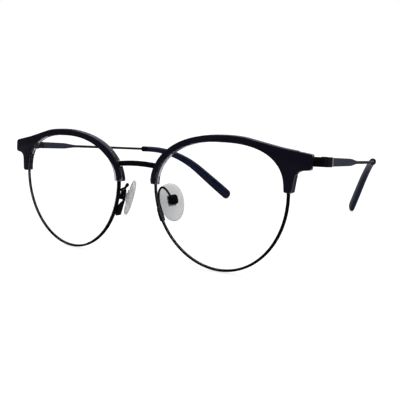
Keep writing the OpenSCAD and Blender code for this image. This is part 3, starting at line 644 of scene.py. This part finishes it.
# %% [markdown]
# The bridge, the endpieces, the closing blocks, the hinges and the pad boxes are
# small stamped or milled pieces. Their edges are broken by about a tenth of a
# millimetre, which is enough for each edge to catch a line of light. The screws
# are turned and get half of that. The pad arms are bent wire, so they are smoothed
# as the eyewires are.

# %% Small metal pieces
BRIDGE_EDGE, SCREW_EDGE = 0.12 * MM, 0.05 * MM
SMALL_PIECES = (
    ("endpiece", "black_metal", 0.10 * MM),
    ("rim_lock", "black_metal", 0.08 * MM),
    ("pad_box", "black_metal", 0.08 * MM),
    ("front_hinge", "hinge_metal", 0.08 * MM),
    ("temple_hinge", "hinge_metal", 0.08 * MM),
    ("pad_insert", "pad_plastic", 0.06 * MM),
)
SCREWS = ("rim_lock_screws", "brow_screws", "hinge_screws", "pad_screws")

cut_piece("bridge", "black_metal", BRIDGE_EDGE)
for side in SIDES:
    for part, slot, edge in SMALL_PIECES:
        cut_piece(f"{side}_{part}", slot, edge)
    drawn_piece(f"{side}_pad_arm", "black_metal", crease_degrees=50, crease=0.7)
for name in SCREWS:
    cut_piece(name, "screw_steel", SCREW_EDGE)
print("made the bridge,", len(SMALL_PIECES) + 1, "small pieces a side,",
      len(SCREWS), "sets of screws")

# %% [markdown]
# The temples are stamped. The light line that shows in the gap where a temple's
# front end meets the lug is painted on that end as a thin pale band. The front end
# of each tip is a short black collar. Both could be pieces of their own. They are
# bands that are cut across the mesh instead, with a finish of their own, because
# they are part of the same solid. The nose pads are smooth all over.

# %% Temples, tips and nose pads
# The first band of each temple is a painted light line, the gap where it meets the lug.
GAP_LIGHT_WIDTH, COLLAR = 0.3 * MM, 3.2 * MM


def banded_piece(node, slot, band_slot, band, crease_degrees, crease):
    mesh = squared_copy(node)
    line = min(v.co.y for v in mesh.verts) + band
    everything = mesh.verts[:] + mesh.edges[:] + mesh.faces[:]
    bmesh.ops.bisect_plane(mesh, geom=everything, plane_co=(0, line, 0), plane_no=(0, 1, 0))
    for face in mesh.faces:
        if face.calc_center_median().y < line:
            face.material_index = 1
    crease_edges(mesh, crease_degrees, crease)
    add_piece(node, mesh, slot, band_slot, levels=1)


for side in SIDES:
    banded_piece(f"{side}_temple", "gunmetal", "gap_light_band", GAP_LIGHT_WIDTH,
                 crease_degrees=45, crease=0.85)
    banded_piece(f"{side}_temple_tip", "tip_acetate", "black_metal", COLLAR,
                 crease_degrees=60, crease=0.5)
    drawn_piece(f"{side}_nose_pad", "pad_silicone", crease_degrees=70, crease=0.2, levels=2)
print("made temples, tips and pads")

# %% [markdown]
# The floor and the world look different to different rays. A ray that reaches the
# eye straight, or through clear plastic, sees the white of the studio. A ray that
# is mirrored in a gloss sees the studio's dark and bright parts. The other rays
# only carry light. Blender tells them apart by its Light Path node, and a little
# arithmetic on its outputs makes the switch.

# %% Helpers for light
def fill(tree, socket, value):
    if isinstance(value, bpy.types.NodeSocket):
        tree.links.new(value, socket)
    else:
        socket.default_value = value


def maths(tree, operation, *terms):
    node = tree.nodes.new("ShaderNodeMath")
    node.operation = operation
    for socket, term in zip(node.inputs, terms):
        fill(tree, socket, term)
    return node.outputs["Value"]


def rays(tree):
    path = tree.nodes.new("ShaderNodeLightPath").outputs
    seen = maths(tree, "MAXIMUM", path["Is Camera Ray"], path["Is Transmission Ray"])
    return seen, path["Is Glossy Ray"]


print("helpers for light ready")

# %% [markdown]
# The frame stands on a plain white floor. More light on the object would make the
# floor white too, but would bleach the pads and lenses. So the floor is grey and
# glows a little for the eye alone, which keeps the shadow. Reflections see a dark
# floor: a bright one would lay a grey veil on the wires and the dark acetate,
# which the photograph doesn't show.

# %% Floor
FLOOR_SIZE = 6.0
FLOOR_DROP = 0.02 * MM
FLOOR_GREY, FLOOR_GREY_REFLECTED = 0.5, 0.1
FLOOR_GLOW, FLOOR_GLOW_REFLECTED = 0.72, 0.1


def floor_material():
    material = bpy.data.materials.new("floor_white")
    material.use_nodes = True
    tree = material.node_tree
    tree.nodes.remove(tree.nodes["Principled BSDF"])
    seen, reflected = rays(tree)
    diffuse = tree.nodes.new("ShaderNodeBsdfDiffuse")
    tree.links.new(spread(tree, reflected, FLOOR_GREY, FLOOR_GREY_REFLECTED),
                   diffuse.inputs["Color"])
    glow = tree.nodes.new("ShaderNodeEmission")
    reflected_glow = maths(tree, "MULTIPLY", reflected, FLOOR_GLOW_REFLECTED)
    fill(tree, glow.inputs["Strength"],
         maths(tree, "MULTIPLY_ADD", seen, FLOOR_GLOW, reflected_glow))
    add = tree.nodes.new("ShaderNodeAddShader")
    tree.links.new(diffuse.outputs["BSDF"], add.inputs[0])
    tree.links.new(glow.outputs["Emission"], add.inputs[1])
    tree.links.new(add.outputs["Shader"], tree.nodes["Material Output"].inputs["Surface"])
    return material


def make_floor():
    mesh = bmesh.new()
    bmesh.ops.create_grid(mesh, x_segments=1, y_segments=1, size=FLOOR_SIZE / 2)
    data = bpy.data.meshes.new("floor")
    mesh.to_mesh(data)
    mesh.free()
    data.materials.append(floor_material())
    floor = bpy.data.objects.new("floor", data)
    floor.location.z = -FLOOR_DROP
    bpy.context.scene.collection.objects.link(floor)
    return floor


print("made", make_floor().name)

# %% [markdown]
# The world is the studio round the object. What the eye sees of it is white, and
# what lights the object is softer than that. Reflections meet a third version: it
# is nearly black low down and in front, and grows bright overhead and towards the
# back, as in a studio with its soft light above the table. That keeps the depth
# of the dark plastic and puts the highlights on the upper edges.

# %% World
SOFT_LIGHT = 0.62
BACK_SHARE = 0.25
REFLECTION_FROM, REFLECTION_TO = 0.12, 0.8
REFLECTION_LOW, REFLECTION_HIGH = 0.05, 1.0
NUMBER_FIRST, NUMBER_SECOND, NUMBER_RESULT = 2, 3, 0


def switched(tree, switch, off, on):
    node = tree.nodes.new("ShaderNodeMix")
    node.data_type = "FLOAT"
    tree.links.new(switch, node.inputs["Factor"])
    fill(tree, node.inputs[NUMBER_FIRST], off)
    fill(tree, node.inputs[NUMBER_SECOND], on)
    return node.outputs[NUMBER_RESULT]


def make_world():
    world = bpy.data.worlds.new("studio")
    bpy.context.scene.world = world
    world.use_nodes = True
    tree = world.node_tree
    seen, reflected = rays(tree)
    place = tree.nodes.new("ShaderNodeTexCoord")
    axes = tree.nodes.new("ShaderNodeSeparateXYZ")
    tree.links.new(place.outputs["Generated"], axes.inputs["Vector"])
    height = maths(tree, "MULTIPLY_ADD", axes.outputs["Y"], BACK_SHARE, axes.outputs["Z"])
    reflection = spread(tree, height, REFLECTION_LOW, REFLECTION_HIGH,
                        REFLECTION_FROM, REFLECTION_TO, curve="SMOOTHSTEP")
    unseen = switched(tree, reflected, off=SOFT_LIGHT, on=reflection)
    background = tree.nodes["Background"]
    background.inputs["Color"].default_value = (1, 1, 1, 1)
    fill(tree, background.inputs["Strength"], switched(tree, seen, off=unseen, on=1.0))
    return world


print("made", make_world().name)

# %% [markdown]
# Two round lamps shape the soft light: a larger one overhead and behind, which
# draws the highlights, and a weaker one from the picture's left, which opens the
# shadow. They aim at a point between the temples. A sun would be simpler, but its
# shadow is hard, and a lamp the size of a real softbox gives a soft one.

# %% Lamps
LAMP_AIM = Vector((0, -0.03, 0.02))


def soft_lamp(name, place, size, power):
    lamp = bpy.data.objects.new(name, bpy.data.lights.new(name, "AREA"))
    lamp.data.shape, lamp.data.size, lamp.data.energy = "DISK", size, power
    lamp.location = place
    lamp.rotation_mode = "QUATERNION"
    lamp.rotation_quaternion = (Vector(place) - LAMP_AIM).to_track_quat("Z", "Y")
    bpy.context.scene.collection.objects.link(lamp)


soft_lamp("key_above", place=(0.15, 0.25, 0.85), size=0.5, power=2.2)
soft_lamp("fill_left", place=(-0.75, -0.2, 0.5), size=0.4, power=0.8)
bpy.context.scene.view_settings.view_transform = "Standard"
print("made two lamps")
